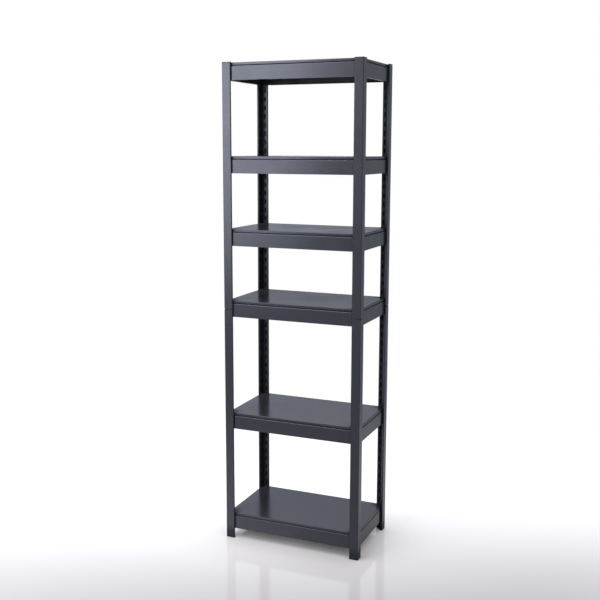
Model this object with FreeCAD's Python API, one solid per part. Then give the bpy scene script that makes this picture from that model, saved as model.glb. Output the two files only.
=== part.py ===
"""Boltless steel rack with six shelves on four slotted corner posts.

Each post is two roll-formed sections on top of each other, with smooth outer faces and a
column of slots down the inside of each leg. A shelf is four folded beams that hook into
those slots, and a shallow tray panel that lies upside down on their flanges, held in place
by the insides of the posts.

Millimetres. X is the width, Y the depth with the front at -Y, and Z is up. The origin is
on the floor under the centre of the rack.
"""
import FreeCAD, Part
import math
import os

from FreeCAD import Placement, Rotation, Vector

# Overall size of the frame, over the outer faces of the posts
frame_width = 600.0
frame_depth = 360.0

# Post section: an angle with hollow legs, rolled from one strip
post_leg = 38.0
leg_thickness = 8.0
post_sheet = 0.8
post_corner_radius = 2.5
leg_tip_bevel = 2.2
end_notch = 5.0
end_notch_height = 1.3
slot_pitch = 37.0
slot_height = 21.0
slot_width = 8.0
slot_from_corner = 26.0
first_slot_up = 18.5

# Plastic fittings of the posts
foot_plate = 2.0
foot_gusset = 9.0
foot_block_height = 18.0
foot_block_width = 17.0
joint_plate = 2.5
joint_inset = 2.0
joint_plug_height = 32.0
cap_plate = 2.5
cap_corner_radius = 3.0
cap_plug_height = 16.0
plug_arm = 13.0
plug_fit = 0.3
cavity_bevel = 0.9

# Folded beams
beam_sheet = 1.0
beam_height = 56.0
beam_bend_radius = 3.0
shoulder_depth = 15.0
top_flange = 8.0
bottom_flange = 14.0
flange_cut = 24.0
beam_end_gap = 1.5

# Hooks of the beams, two at each end
hook_rise = 5.0
hook_width = 6.0
hook_shank_height = 9.0
hook_tail_drop = 5.0
hook_tail = 1.8
hook_play = 0.3

# Tray panels, raised over the shoulders of the beams, and their stiffeners
panel_sheet = 0.7
panel_rise = 13.0
panel_lip = 10.0
panel_gap = 1.5
panel_bend_radius = 2.0
stiffener_height = 14.0
stiffener_crown = 30.0
stiffener_flange = 14.0
stiffener_end_gap = 6.0

# Numbers of slots: in each leg of a section, and between the shelves
slot_count = 27
slots_below_first_shelf = 1
slots_up_to_second_shelf = 12
slots_between_middle_shelves = 8

# Places that follow from the slots
section_length = slot_count * slot_pitch - joint_plate
joint_slot = slot_count - 1
top_slot = 2 * slot_count - 2
shelf_slots = (
    slots_below_first_shelf,
    slots_below_first_shelf + slots_up_to_second_shelf,
    joint_slot,
    joint_slot + slots_between_middle_shelves,
    joint_slot + 2 * slots_between_middle_shelves,
    top_slot,
)
lower_section_base = foot_plate
joint_base = lower_section_base + section_length
upper_section_base = joint_base + joint_plate
cap_base = upper_section_base + section_length

# The four corners, with the turn that brings a front left fitting there
corners = {
    "front_left": (-1, -1, 0),
    "front_right": (1, -1, 90),
    "back_right": (1, 1, 180),
    "back_left": (-1, 1, 270),
}
up = Vector(0, 0, 1)
section_to_length = Placement(Vector(0, 0, 0), Rotation(Vector(1, 1, 1), 120))


def rounded_wire(outline):
    """Closed wire in the XY plane through points given as (x, y, rounding radius)."""
    count = len(outline)
    starts = []
    ends = []
    arcs = []
    for index, (x, y, radius) in enumerate(outline):
        here = Vector(x, y, 0)
        before = Vector(outline[index - 1][0], outline[index - 1][1], 0) - here
        after = Vector(outline[(index + 1) % count][0], outline[(index + 1) % count][1], 0) - here
        before.normalize()
        after.normalize()
        half_angle = before.getAngle(after) / 2
        setback = radius / math.tan(half_angle)
        start = here + before * setback
        end = here + after * setback
        starts.append(start)
        ends.append(end)
        if radius > 0:
            inward = (before + after).normalize()
            middle = here + inward * (radius / math.sin(half_angle) - radius)
            arcs.append(Part.Arc(start, middle, end).toShape())
        else:
            arcs.append(None)
    edges = []
    for index in range(count):
        if arcs[index]:
            edges.append(arcs[index])
        edges.append(Part.makeLine(ends[index], starts[(index + 1) % count]))
    return Part.Wire(edges)


def prism(outline, height, base=0.0):
    """Upright solid of a rounded outline."""
    face = Part.Face(rounded_wire(outline))
    face.translate(up * base)
    return face.extrude(up * height)


def bend_bevel(radius, sheet):
    """Setback of a bevel that follows the inside of a bend with that outer radius."""
    return (radius - sheet) * (2 - math.sqrt(2))


def folded_outline(line, radii, sheet):
    """Section of a folded sheet whose face follows line, with the sheet on the line's left.

    radii holds the outer radius of each point of the line. Inside a rounded bend the sheet
    is bevelled, and inside a sharp one it is sharp.
    """
    directions = []
    for start, end in zip(line, line[1:]):
        step = Vector(end[0] - start[0], end[1] - start[1], 0)
        directions.append(step.normalize())
    lefts = [Vector(-d.y, d.x, 0) for d in directions]
    far_side = []
    for index, (x, y) in enumerate(line):
        first = lefts[max(index - 1, 0)]
        second = lefts[min(index, len(lefts) - 1)]
        inner = Vector(x, y, 0) + (first + second) * (sheet / (1 + first.dot(second)))
        if radii[index] > 0:
            bevel = bend_bevel(radii[index], sheet)
            into_bend = inner - directions[index - 1] * bevel
            out_of_bend = inner + directions[index] * bevel
            far_side += [(into_bend.x, into_bend.y, 0.0), (out_of_bend.x, out_of_bend.y, 0.0)]
        else:
            far_side.append((inner.x, inner.y, 0.0))
    near_side = [(x, y, radius) for (x, y), radius in zip(line, radii)]
    return near_side + far_side[::-1]


def angle_outline(leg, thickness, corner, bevel=0.0, inset=0.0):
    """Outline of a thick angle with its outer corner at the origin, drawn in by inset.

    The outer corner is rounded by corner, and the ends of both legs are bevelled.
    """
    low = inset
    high = leg - inset
    wall = thickness - inset
    points = [(low, low, corner)]
    if bevel > 0:
        points += [(high - bevel, low, 0.0), (high, low + bevel, 0.0)]
        points += [(high, wall - bevel, 0.0), (high - bevel, wall, 0.0)]
    else:
        points += [(high, low, 0.0), (high, wall, 0.0)]
    mirrored = [(y, x, 0.0) for x, y, _ in reversed(points[1:])]
    return points + [(wall, wall, 0.0)] + mirrored


def cavity_outline(leg, clearance=0.0):
    """Outline of the hollow inside a post's angle, with its outer corner cut off at a slant."""
    inset = post_sheet + clearance
    inside = angle_outline(leg, leg_thickness, 0.0, cavity_bevel, inset)
    slanted = [(inset + cavity_bevel, inset, 0.0)]
    return slanted + inside[1:] + [(inset, inset + cavity_bevel, 0.0)]


def corner_notch(height, base):
    """Wedge that relieves the outer corner of a post where the rolled sections meet."""
    return prism([(0.0, 0.0, 0.0), (end_notch, 0.0, 0.0), (0.0, end_notch, 0.0)], height, base)


def post_section():
    """One length of post for the front left corner, with its slots, standing on Z = 0."""
    outline = angle_outline(post_leg, leg_thickness, post_corner_radius, leg_tip_bevel)
    outside = prism(outline, section_length)
    hollow = prism(cavity_outline(post_leg), section_length)
    cuts = [
        corner_notch(end_notch_height, 0.0),
        corner_notch(end_notch_height, section_length - end_notch_height),
    ]
    cut_depth = 2 * post_sheet
    near_edge = slot_from_corner - slot_width / 2
    wall = leg_thickness - 1.5 * post_sheet
    for number in range(slot_count):
        low_edge = first_slot_up + number * slot_pitch - slot_height / 2
        cuts.append(Part.makeBox(slot_width, cut_depth, slot_height, Vector(near_edge, wall, low_edge)))
        cuts.append(Part.makeBox(cut_depth, slot_width, slot_height, Vector(wall, near_edge, low_edge)))
    return outside.cut(hollow).cut(cuts)


def corner_plug(height, base):
    """The part of a fitting that fills the corner of a hollow post."""
    reach = plug_arm + 2 * (post_sheet + plug_fit)
    return prism(cavity_outline(reach, plug_fit), height, base)


def foot():
    """Shoe under a post: a gusseted plate, a plug in the post and a block in its inner corner."""
    plate = prism(
        [
            (0.0, 0.0, post_corner_radius),
            (post_leg, 0.0, 0.0),
            (post_leg, foot_gusset, 0.0),
            (foot_gusset, post_leg, 0.0),
            (0.0, post_leg, 0.0),
        ],
        foot_plate,
    )
    inner_face = leg_thickness + plug_fit
    block_end = inner_face + foot_block_width
    block = prism(
        [
            (inner_face, inner_face, 0.0),
            (block_end, inner_face, 0.0),
            (inner_face, block_end, 0.0),
        ],
        foot_block_height,
        foot_plate,
    )
    plug = corner_plug(foot_block_height, foot_plate)
    return plate.fuse([block, plug]).removeSplitter()


def joint_piece():
    """Splice of a post: a plate between the sections and a plug up and down from it.

    The plate stays back from the outer faces of the post, so a thin open joint shows there.
    """
    leg = post_leg - joint_inset
    thickness = leg_thickness - joint_inset
    plate = prism(angle_outline(leg, thickness, 0.0, leg_tip_bevel), joint_plate)
    plate.translate(Vector(joint_inset, joint_inset, 0))
    plug = corner_plug(2 * joint_plug_height + joint_plate, -joint_plug_height)
    notch = corner_notch(joint_plate + 2 * end_notch_height, -end_notch_height)
    return plate.fuse(plug).removeSplitter().cut(notch)


def cap():
    """Cover on the top end of a post."""
    plate = prism(angle_outline(post_leg, leg_thickness, cap_corner_radius), cap_plate)
    plug = corner_plug(cap_plug_height, -cap_plug_height)
    return plate.fuse(plug).removeSplitter()


def hook():
    """One hook of a beam, at X = 0, with its bearing edge on Z = 0 and its root on Y = 0."""
    wall_side = post_sheet + hook_play
    reach = wall_side + hook_tail
    profile = [
        (0.0, 0.0),
        (-wall_side, 0.0),
        (-wall_side, -hook_tail_drop),
        (-reach, -hook_tail_drop),
        (-reach, hook_shank_height),
        (0.0, hook_shank_height),
    ]
    points = [Vector(-hook_width / 2, y, z) for y, z in profile]
    face = Part.Face(Part.makePolygon(points + points[:1]))
    return face.extrude(Vector(hook_width, 0, 0))


def beam(span, end_gap):
    """A beam along X between two posts span apart over their outer faces.

    Its outer face is on Y = 0 and its lower edge on Z = 0. Over a shoulder, a riser carries
    the panel on a flange that turns towards +Y, as does the lower one. The ends are left
    flat, so that they lie against the insides of the posts.
    """
    plate_length = span - 2 * (leg_thickness + end_gap)
    plate = Part.makeBox(plate_length, beam_sheet, beam_height, Vector(-plate_length / 2, 0, 0))
    riser_top = beam_height + panel_rise - panel_sheet
    line = [
        (shoulder_depth + top_flange, riser_top),
        (shoulder_depth, riser_top),
        (shoulder_depth, beam_height),
        (0.0, beam_height),
        (0.0, 0.0),
        (bottom_flange, 0.0),
    ]
    radii = [0.0, 0.0, 0.0, beam_bend_radius, 0.0, 0.0]
    formed_length = plate_length - 2 * flange_cut
    formed = prism(folded_outline(line, radii, beam_sheet), formed_length, -formed_length / 2)
    formed.Placement = section_to_length
    middle_cut = Part.makeBox(formed_length, beam_sheet, beam_height, Vector(-formed_length / 2, 0, 0))
    pieces = [formed]
    for side in (-1, 1):
        for row in (0, 1):
            place = Vector(side * (span / 2 - slot_from_corner), 0, hook_rise + row * slot_pitch)
            pieces.append(hook().translated(place))
    return plate.cut(middle_cut).fuse(pieces).removeSplitter()


def slab(length, width, height, radius, bevel):
    """Box on Z = 0 whose upper edges are rounded by radius or bevelled."""
    crossed = []
    for across, along, turn in ((width, length, 0), (length, width, 90)):
        side = across / 2
        half = [(side, 0.0, 0.0)]
        if radius > 0:
            half.append((side, height, radius))
        else:
            half += [(side, height - bevel, 0.0), (side - bevel, height, 0.0)]
        outline = half + [(-x, y, rounding) for x, y, rounding in reversed(half)]
        body = prism(outline, along, -along / 2)
        body.Placement = Placement(Vector(0, 0, 0), Rotation(up, turn)) * section_to_length
        crossed.append(body)
    return crossed[0].common(crossed[1])


def panel():
    """Tray of a shelf, upside down, with the edges of its lips on Z = 0."""
    inset = leg_thickness + panel_gap
    length = frame_width - 2 * inset
    width = frame_depth - 2 * inset
    shell = slab(length, width, panel_lip, panel_bend_radius, 0.0)
    room_length = length - 2 * panel_sheet
    room_width = width - 2 * panel_sheet
    room_height = panel_lip - panel_sheet
    bevel = bend_bevel(panel_bend_radius, panel_sheet)
    return shell.cut(slab(room_length, room_width, room_height, 0.0, bevel))


def stiffener():
    """Hat rail along the underside of a panel, its flanges on Z = 0 and its crown below."""
    inset = leg_thickness + shoulder_depth + top_flange + stiffener_end_gap
    length = frame_width - 2 * inset
    half_crown = stiffener_crown / 2
    foot_end = half_crown + stiffener_flange
    line = [
        (foot_end, 0.0),
        (half_crown, 0.0),
        (half_crown, -stiffener_height),
        (-half_crown, -stiffener_height),
        (-half_crown, 0.0),
        (-foot_end, 0.0),
    ]
    outline = folded_outline(line, [0.0] * len(line), panel_sheet)
    rail = prism(outline, length, -length / 2)
    rail.Placement = section_to_length
    return rail


def at_corner(shape, side_x, side_y, turn, height):
    """A copy of a front left fitting, moved to one corner of the frame."""
    place = Vector(side_x * frame_width / 2, side_y * frame_depth / 2, height)
    copy = shape.copy()
    copy.Placement = Placement(place, Rotation(up, turn)) * shape.Placement
    return copy


def on_side(shape, turn, distance, height):
    """A copy of a front beam, turned to one side of the frame at distance from its centre."""
    copy = shape.copy()
    outward = Placement(Vector(0, -distance, height), Rotation())
    copy.Placement = Placement(Vector(0, 0, 0), Rotation(up, turn)) * outward * shape.Placement
    return copy


def posts():
    """The eight post sections with their feet, splices and caps."""
    section = post_section()
    fittings = {
        "foot": (foot(), 0.0),
        "post_lower": (section, lower_section_base),
        "splice": (joint_piece(), joint_base),
        "post_upper": (section, upper_section_base),
        "cap": (cap(), cap_base),
    }
    nodes = {}
    for corner, (side_x, side_y, turn) in corners.items():
        for name, (shape, height) in fittings.items():
            nodes[f"{name}_{corner}"] = at_corner(shape, side_x, side_y, turn, height)
    return nodes


def shelves():
    """Four beams, a panel and its stiffener for each shelf."""
    long_beam = beam(frame_width, beam_end_gap)
    short_beam = beam(frame_depth, beam_end_gap + beam_sheet)
    across_depth = frame_depth / 2 - leg_thickness
    across_width = frame_width / 2 - leg_thickness
    sides = {
        "front": (long_beam, 0, across_depth),
        "right": (short_beam, 90, across_width),
        "back": (long_beam, 180, across_depth),
        "left": (short_beam, 270, across_width),
    }
    tray = panel()
    rail = stiffener()
    nodes = {}
    for number, slot in enumerate(shelf_slots, start=1):
        slot_base = lower_section_base + first_slot_up + slot * slot_pitch - slot_height / 2
        beam_base = slot_base - hook_rise
        for side, (shape, turn, distance) in sides.items():
            nodes[f"shelf_{number}_beam_{side}"] = on_side(shape, turn, distance, beam_base)
        panel_top = beam_base + beam_height + panel_rise
        nodes[f"shelf_{number}_panel"] = tray.translated(up * (panel_top - panel_lip))
        nodes[f"shelf_{number}_stiffener"] = rail.translated(up * (panel_top - panel_sheet))
    return nodes


os.makedirs("parts", exist_ok=True)
for node, shape in {**posts(), **shelves()}.items():
    shape.exportStep(f"parts/{node}.step")
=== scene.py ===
"""Looks of a boltless steel rack: powder-coated steel, moulded plastic, studio and camera.

Metres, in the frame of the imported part: X is the width, Y the depth with the front at -Y, and
Z is up from the floor.
"""
import math

import bpy
from mathutils import Matrix, Quaternion, Vector

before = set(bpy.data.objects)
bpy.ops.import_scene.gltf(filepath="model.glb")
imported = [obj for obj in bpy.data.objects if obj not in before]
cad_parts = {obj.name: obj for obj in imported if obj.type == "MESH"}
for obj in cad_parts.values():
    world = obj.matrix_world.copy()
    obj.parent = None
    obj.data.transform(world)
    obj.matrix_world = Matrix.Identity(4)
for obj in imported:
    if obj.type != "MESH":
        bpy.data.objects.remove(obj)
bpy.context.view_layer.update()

millimetre = 0.001

# Camera of the photograph. Its angles are in radians, and its lens is the focal length in pixels of a
# picture photo_side wide. Its line of sight meets the picture pixels_centre_is_raised above the centre
photo_side = 600
camera_place = Vector((1.455, -3.503, 1.663))
camera_yaw = -0.4020
camera_pitch = -0.1546
camera_roll = 0.0021
lens_in_pixels = 914.0
pixels_centre_is_raised = 10
sensor_side = 36.0

# Powder coat. Its fine texture takes gloss away towards grazing: there is most from grazing_full on
# and least up to grazing_none, each the cosine of the angle between the line of sight and the normal
coat_colour = (0.0215, 0.0222, 0.0275)
coat_colour_dusty = (0.0285, 0.0292, 0.036)
coat_tint = (0.79, 0.82, 1.0)
coat_gloss = 0.42
coat_gloss_least = 0.005
grazing_none = 0.12
grazing_full = 0.58
coat_cloud_size = 120 * millimetre
coat_grain_size = 0.35 * millimetre
coat_peel_size = 1.6 * millimetre
coat_peel_strength = 0.25
coat_peel_depth = 0.05 * millimetre
panel_roughness = 0.20
folded_roughness = 0.23
roughness_swing = 0.03

# Moulded plastic
plastic_colour = (0.010, 0.010, 0.011)
plastic_colour_scuffed = (0.018, 0.018, 0.019)
plastic_gloss = 0.5
plastic_cloud_size = 30 * millimetre
plastic_grain_size = 0.6 * millimetre
plastic_grain_strength = 0.35
plastic_grain_depth = 0.06 * millimetre
plastic_roughness_least = 0.5
plastic_roughness_most = 0.62

# Both finishes. Openness is 1 on a face with nothing within the reach below. As painted shade, the
# gloss is whole from a finish's higher openness value on, and only the share below is left of it up to
# its lower value, which darkens inner corners, grooves and recesses. From noise_low to noise_high, noise
# takes a colour or a roughness from its one end to the other
painted_shade_reach = 60 * millimetre
gloss_left_in_painted_shade = 0.15
flat_painted_shade_whole = 0.80
flat_painted_shade_end = 0.97
beam_painted_shade_whole = 0.55
beam_painted_shade_end = 0.80
openness_samples = 8
edge_radius = 0.5 * millimetre
edge_samples = 6
noise_low = 0.3
noise_high = 0.7
cloud_detail = 4.0
relief_detail = 3.0
grain_detail = 2.0

# Floor. It fades out with the distance from the rack's middle, and along floor_whiter_way its glow goes
# from floor_white_near at floor_white_start to floor_white_far at floor_white_end, as painted shade that
# darkens it towards the front. Openness within floor_shadow_reach cuts the glow as painted shadow
floor_radius = 9.0
floor_steps = 96
floor_fade_start = 0.9
floor_fade_end = 2.6
floor_colour = (0.34, 0.33, 0.34)
floor_glow = (1.0, 0.985, 1.0)
floor_white_near = 0.10
floor_white_far = 0.74
floor_whiter_way = (-0.39, 0.92, 0.0)
floor_white_start = -0.95
floor_white_end = 0.45
floor_shadow_reach = 0.25
floor_roughness = 0.10

# World. Reflections go from room to backdrop towards bright_side, and on the right a wall is added,
# which starts where wall_edge of a direction points that way and is brightest straight to the right
world_light = 0.65
room_in_reflections = 0.10
backdrop_in_reflections = 1.14
reflected_colour = (0.80, 0.85, 1.0)
bright_side = (-0.94, 0.32, 0.14)
right_side = (1.0, 0.0, 0.0)
right_wall = 0.93
wall_edge = 0.5

# Lamps. The key's strips are pairs of height and share of the brightness, from the top, and its lean
# is in degrees
key_top_edge = (-2.055, -3.5, 3.65)
key_faces = (0.0, 1.0, 0.0)
key_width = 2.0
key_lean = -10.0
key_watts_a_square_metre = 23.9
key_strips = ((2.13, 1.0), (0.46, 0.7), (0.46, 0.35))
top_place = (-0.9, -1.1, 3.6)
top_target = (-0.9, -1.1, 0.0)
top_width = 1.6
top_height = 2.6
top_power = 80.0


class Nodes:
    """Short calls for the node tree of one material or world."""

    def __init__(self, tree):
        self.tree = tree
        tree.nodes.clear()

    def add(self, kind, links=None, **values):
        """A node of that kind. links feed inputs, and values are plain inputs or settings."""
        node = self.tree.nodes.new(kind)
        for key, value in values.items():
            if hasattr(node, key):
                setattr(node, key, value)
            else:
                node.inputs[key.replace("_", " ")].default_value = value
        for key, source in (links or {}).items():
            self.tree.links.new(source, node.inputs[key])
        return node

    def spread(self, factor, low, high, start=0.0, end=1.0):
        """Number that goes smoothly from low to high while factor goes from start to end."""
        node = self.add("ShaderNodeMapRange", {"Value": factor}, interpolation_type="SMOOTHSTEP")
        for name, value in (("From Min", start), ("From Max", end), ("To Min", low), ("To Max", high)):
            if isinstance(value, float):
                node.inputs[name].default_value = value
            else:
                self.tree.links.new(value, node.inputs[name])
        return node.outputs["Result"]

    def maths(self, operation, first, second):
        """Result of an operation on two sides, each a socket or a plain number."""
        node = self.add("ShaderNodeMath", operation=operation)
        for side, value in enumerate((first, second)):
            if isinstance(value, float):
                node.inputs[side].default_value = value
            else:
                self.tree.links.new(value, node.inputs[side])
        return node.outputs[0]

    def distance(self, place, centre):
        """Distance of a place from a fixed centre."""
        node = self.add("ShaderNodeVectorMath", {0: place}, operation="DISTANCE")
        node.inputs[1].default_value = centre
        return node.outputs["Value"]

    def along(self, direction, axis):
        """Part of a direction that lies along a fixed axis."""
        node = self.add("ShaderNodeVectorMath", {0: direction}, operation="DOT_PRODUCT")
        node.inputs[1].default_value = axis
        return node.outputs["Value"]

    def backdrop_rays(self):
        """1 for the rays that see the backdrop as it is shown: camera, mirrored and clear ones."""
        rays = self.add("ShaderNodeLightPath").outputs
        mirrored = self.maths("MAXIMUM", rays["Is Glossy Ray"], rays["Is Transmission Ray"])
        return self.maths("MAXIMUM", rays["Is Camera Ray"], mirrored)


def material(name):
    """New material of that name, and the calls for its emptied node tree."""
    made = bpy.data.materials.new(name)
    made.use_nodes = True
    return made, Nodes(made.node_tree)


def speckle(nodes, size, detail):
    """Noise in the object's own place, with features of that size in metres."""
    place = nodes.add("ShaderNodeTexCoord").outputs["Object"]
    noise = nodes.add("ShaderNodeTexNoise", {"Vector": place}, Scale=1.0 / size, Detail=detail)
    return noise.outputs["Fac"]


def ramp(nodes, factor, low, high, low_at=noise_low, high_at=noise_high):
    """Colour that goes from low to high while factor goes from low_at to high_at."""
    node = nodes.add("ShaderNodeValToRGB", {"Fac": factor})
    ends = node.color_ramp.elements
    ends[0].position = low_at
    ends[1].position = high_at
    ends[0].color = (*low, 1.0)
    ends[1].color = (*high, 1.0)
    return node.outputs["Color"]


def fine_gloss(nodes):
    """Specular level that falls towards grazing, as it does on a finely textured coat."""
    # At a blend of 0.5, this is one less the cosine that grazing_none and grazing_full are given as
    grazing = nodes.add("ShaderNodeLayerWeight", Blend=0.5).outputs["Facing"]
    facing = nodes.maths("SUBTRACT", 1.0, grazing)
    return nodes.spread(facing, coat_gloss_least, coat_gloss, grazing_none, grazing_full)


def openness(nodes, reach):
    """1 on open faces, less where other faces stand nearer than reach."""
    return nodes.add("ShaderNodeAmbientOcclusion", samples=openness_samples, Distance=reach).outputs["AO"]


def painted_recess_shade(nodes, dull, clear):
    """Share of the gloss that is left, as painted shade: all on open faces, and little in inner corners
    and grooves.
    """
    return nodes.spread(openness(nodes, painted_shade_reach), gloss_left_in_painted_shade, 1.0, dull, clear)


def relief(nodes, height, strength, depth):
    """Normal of a surface with rounded edges and that height as its relief, depth deep."""
    edge = nodes.add("ShaderNodeBevel", samples=edge_samples, Radius=edge_radius).outputs["Normal"]
    links = {"Height": height, "Normal": edge}
    return nodes.add("ShaderNodeBump", links, Strength=strength, Distance=depth).outputs["Normal"]


def powder_coat(name, roughness, painted_shade_whole_at, painted_shade_ends_at):
    """Charcoal powder coat with an orange peel, soft edges and painted shade in inner corners and
    grooves.
    """
    made, nodes = material(name)
    # Painted shade: the gloss falls where other faces stand near
    clear = painted_recess_shade(nodes, painted_shade_whole_at, painted_shade_ends_at)
    cloud = speckle(nodes, coat_cloud_size, cloud_detail)
    grain = speckle(nodes, coat_grain_size, grain_detail)
    peel = speckle(nodes, coat_peel_size, relief_detail)
    least = roughness - roughness_swing
    most = roughness + roughness_swing
    shader = nodes.add(
        "ShaderNodeBsdfPrincipled",
        {
            "Base Color": ramp(nodes, grain, coat_colour, coat_colour_dusty),
            "Roughness": nodes.spread(cloud, least, most, noise_low, noise_high),
            "Specular IOR Level": nodes.maths("MULTIPLY", fine_gloss(nodes), clear),
            "Normal": relief(nodes, peel, coat_peel_strength, coat_peel_depth),
        },
        Specular_Tint=(*coat_tint, 1.0),
    )
    nodes.add("ShaderNodeOutputMaterial", {"Surface": shader.outputs["BSDF"]})
    return made


def moulded_plastic(name):
    """Black matt plastic with a spark-eroded grain, and painted shade in inner corners."""
    made, nodes = material(name)
    # Painted shade: the gloss falls where other faces stand near
    clear = painted_recess_shade(nodes, flat_painted_shade_whole, flat_painted_shade_end)
    grain = speckle(nodes, plastic_grain_size, relief_detail)
    cloud = speckle(nodes, plastic_cloud_size, cloud_detail)
    shader = nodes.add(
        "ShaderNodeBsdfPrincipled",
        {
            "Base Color": ramp(nodes, cloud, plastic_colour, plastic_colour_scuffed),
            "Roughness": nodes.spread(
                grain, plastic_roughness_least, plastic_roughness_most, noise_low, noise_high
            ),
            "Specular IOR Level": nodes.maths("MULTIPLY", plastic_gloss, clear),
            "Normal": relief(nodes, grain, plastic_grain_strength, plastic_grain_depth),
        },
    )
    nodes.add("ShaderNodeOutputMaterial", {"Surface": shader.outputs["BSDF"]})
    return made


def dress_frame():
    """Each CAD node gets its finish."""
    # The last two values of each coat say where its painted shade is whole and where it ends
    post = powder_coat("powder_coat_post", folded_roughness, flat_painted_shade_whole, flat_painted_shade_end)
    beam = powder_coat("powder_coat_beam", folded_roughness, beam_painted_shade_whole, beam_painted_shade_end)
    tray = powder_coat("powder_coat_panel", panel_roughness, flat_painted_shade_whole, flat_painted_shade_end)
    plastic = moulded_plastic("plastic_black")
    for name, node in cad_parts.items():
        if name.startswith(("foot", "splice", "cap")):
            finish = plastic
        elif name.startswith("post"):
            finish = post
        elif name.endswith("panel"):
            finish = tray
        else:
            finish = beam
        node.data.materials.clear()
        node.data.materials.append(finish)


def studio_floor():
    """Grey disc that fades out far, with a painted glow whiter to the back and painted shadow beside the
    rack.
    """
    mesh = bpy.data.meshes.new("floor")
    turns = [2 * math.pi * step / floor_steps for step in range(floor_steps)]
    rim = [(floor_radius * math.cos(turn), floor_radius * math.sin(turn), 0.0) for turn in turns]
    mesh.from_pydata(rim, [], [tuple(range(floor_steps))])
    floor = bpy.data.objects.new("floor", mesh)
    bpy.context.scene.collection.objects.link(floor)
    made, nodes = material("floor_pale")
    place = nodes.add("ShaderNodeTexCoord").outputs["Object"]
    out = nodes.distance(place, (0.0, 0.0, 0.0))
    fade = nodes.spread(out, 0.0, 1.0, floor_fade_start, floor_fade_end)
    back = nodes.along(place, floor_whiter_way)
    # Painted shade: the glow is weaker towards the front
    painted_floor_glow = nodes.spread(back, floor_white_near, floor_white_far, floor_white_start, floor_white_end)
    # Painted shadow: openness cuts the glow beside the rack
    painted_glow_with_shadow = nodes.maths("MULTIPLY", painted_floor_glow, openness(nodes, floor_shadow_reach))
    surface = nodes.add(
        "ShaderNodeBsdfPrincipled",
        {"Emission Strength": nodes.maths("MULTIPLY", nodes.backdrop_rays(), painted_glow_with_shadow)},
        Base_Color=(*floor_colour, 1.0),
        Roughness=floor_roughness,
        Emission_Color=(*floor_glow, 1.0),
    )
    clear = nodes.add("ShaderNodeBsdfTransparent").outputs["BSDF"]
    blend = nodes.add("ShaderNodeMixShader", {0: fade, 1: surface.outputs["BSDF"], 2: clear})
    nodes.add("ShaderNodeOutputMaterial", {"Surface": blend.outputs["Shader"]})
    mesh.materials.append(made)


def studio_world():
    """White to the camera, a bright backdrop and a darker room in reflections, and soft light."""
    world = bpy.data.worlds.new("studio")
    world.use_nodes = True
    bpy.context.scene.world = world
    nodes = Nodes(world.node_tree)
    direction = nodes.add("ShaderNodeTexCoord").outputs["Generated"]
    backdrop = nodes.spread(
        nodes.along(direction, bright_side), room_in_reflections, backdrop_in_reflections, -1.0, 1.0
    )
    wall = nodes.spread(nodes.along(direction, right_side), 0.0, right_wall, wall_edge, 1.0)
    reflected = nodes.maths("ADD", backdrop, wall)
    shown = nodes.backdrop_rays()
    colour = ramp(nodes, shown, (1.0, 1.0, 1.0), reflected_colour, 0.0, 1.0)
    strength = nodes.spread(shown, world_light, reflected)
    light = nodes.add("ShaderNodeBackground", {"Color": colour, "Strength": strength})
    white = nodes.add("ShaderNodeBackground", Color=(1.0, 1.0, 1.0, 1.0), Strength=1.0)
    rays = nodes.add("ShaderNodeLightPath").outputs
    links = {0: rays["Is Camera Ray"], 1: light.outputs["Background"], 2: white.outputs["Background"]}
    blend = nodes.add("ShaderNodeMixShader", links)
    nodes.add("ShaderNodeOutputWorld", {"Surface": blend.outputs["Shader"]})


def softbox(name, place, target, width, height, power, lean=0.0):
    """Rectangular lamp at place that faces target, leaning that many degrees in its own plane."""
    lamp = bpy.data.lights.new(name, "AREA")
    lamp.shape = "RECTANGLE"
    lamp.size = width
    lamp.size_y = height
    lamp.energy = power
    holder = bpy.data.objects.new(name, lamp)
    holder.location = place
    holder.rotation_mode = "QUATERNION"
    aim = (Vector(target) - Vector(place)).to_track_quat("-Z", "Y")
    holder.rotation_quaternion = aim @ Quaternion((0.0, 0.0, 1.0), math.radians(lean))
    bpy.context.scene.collection.objects.link(holder)


def key_softbox():
    """Large leaning softbox in strips of one height and brightness each, which dim towards its foot."""
    lean = math.radians(key_lean)
    down = Vector((math.sin(lean), 0.0, -math.cos(lean)))
    edge = Vector(key_top_edge)
    for number, (height, brightness) in enumerate(key_strips, 1):
        place = edge + down * height / 2
        power = key_watts_a_square_metre * key_width * height * brightness
        softbox(f"key_{number}", place, place + Vector(key_faces), key_width, height, power, key_lean)
        edge = edge + down * height


def photo_camera():
    """The photograph's viewpoint."""
    level = math.cos(camera_pitch)
    ahead = Vector((math.sin(camera_yaw) * level, math.cos(camera_yaw) * level, math.sin(camera_pitch)))
    right = ahead.cross(Vector((0, 0, 1))).normalized()
    above = right.cross(ahead)
    rolled_right = right * math.cos(camera_roll) + above * math.sin(camera_roll)
    rolled_above = above * math.cos(camera_roll) - right * math.sin(camera_roll)
    data = bpy.data.cameras.new("photo_camera")
    data.sensor_width = sensor_side
    data.lens = lens_in_pixels * sensor_side / photo_side
    data.shift_y = -pixels_centre_is_raised / photo_side
    camera = bpy.data.objects.new("photo_camera", data)
    turn = Matrix((rolled_right, rolled_above, -ahead)).transposed().to_4x4()
    camera.matrix_world = Matrix.Translation(camera_place) @ turn
    bpy.context.scene.collection.objects.link(camera)
    bpy.context.scene.camera = camera


dress_frame()
studio_floor()
studio_world()
key_softbox()
softbox("top", top_place, top_target, top_width, top_height, top_power)
photo_camera()
bpy.context.scene.view_settings.view_transform = "Standard"
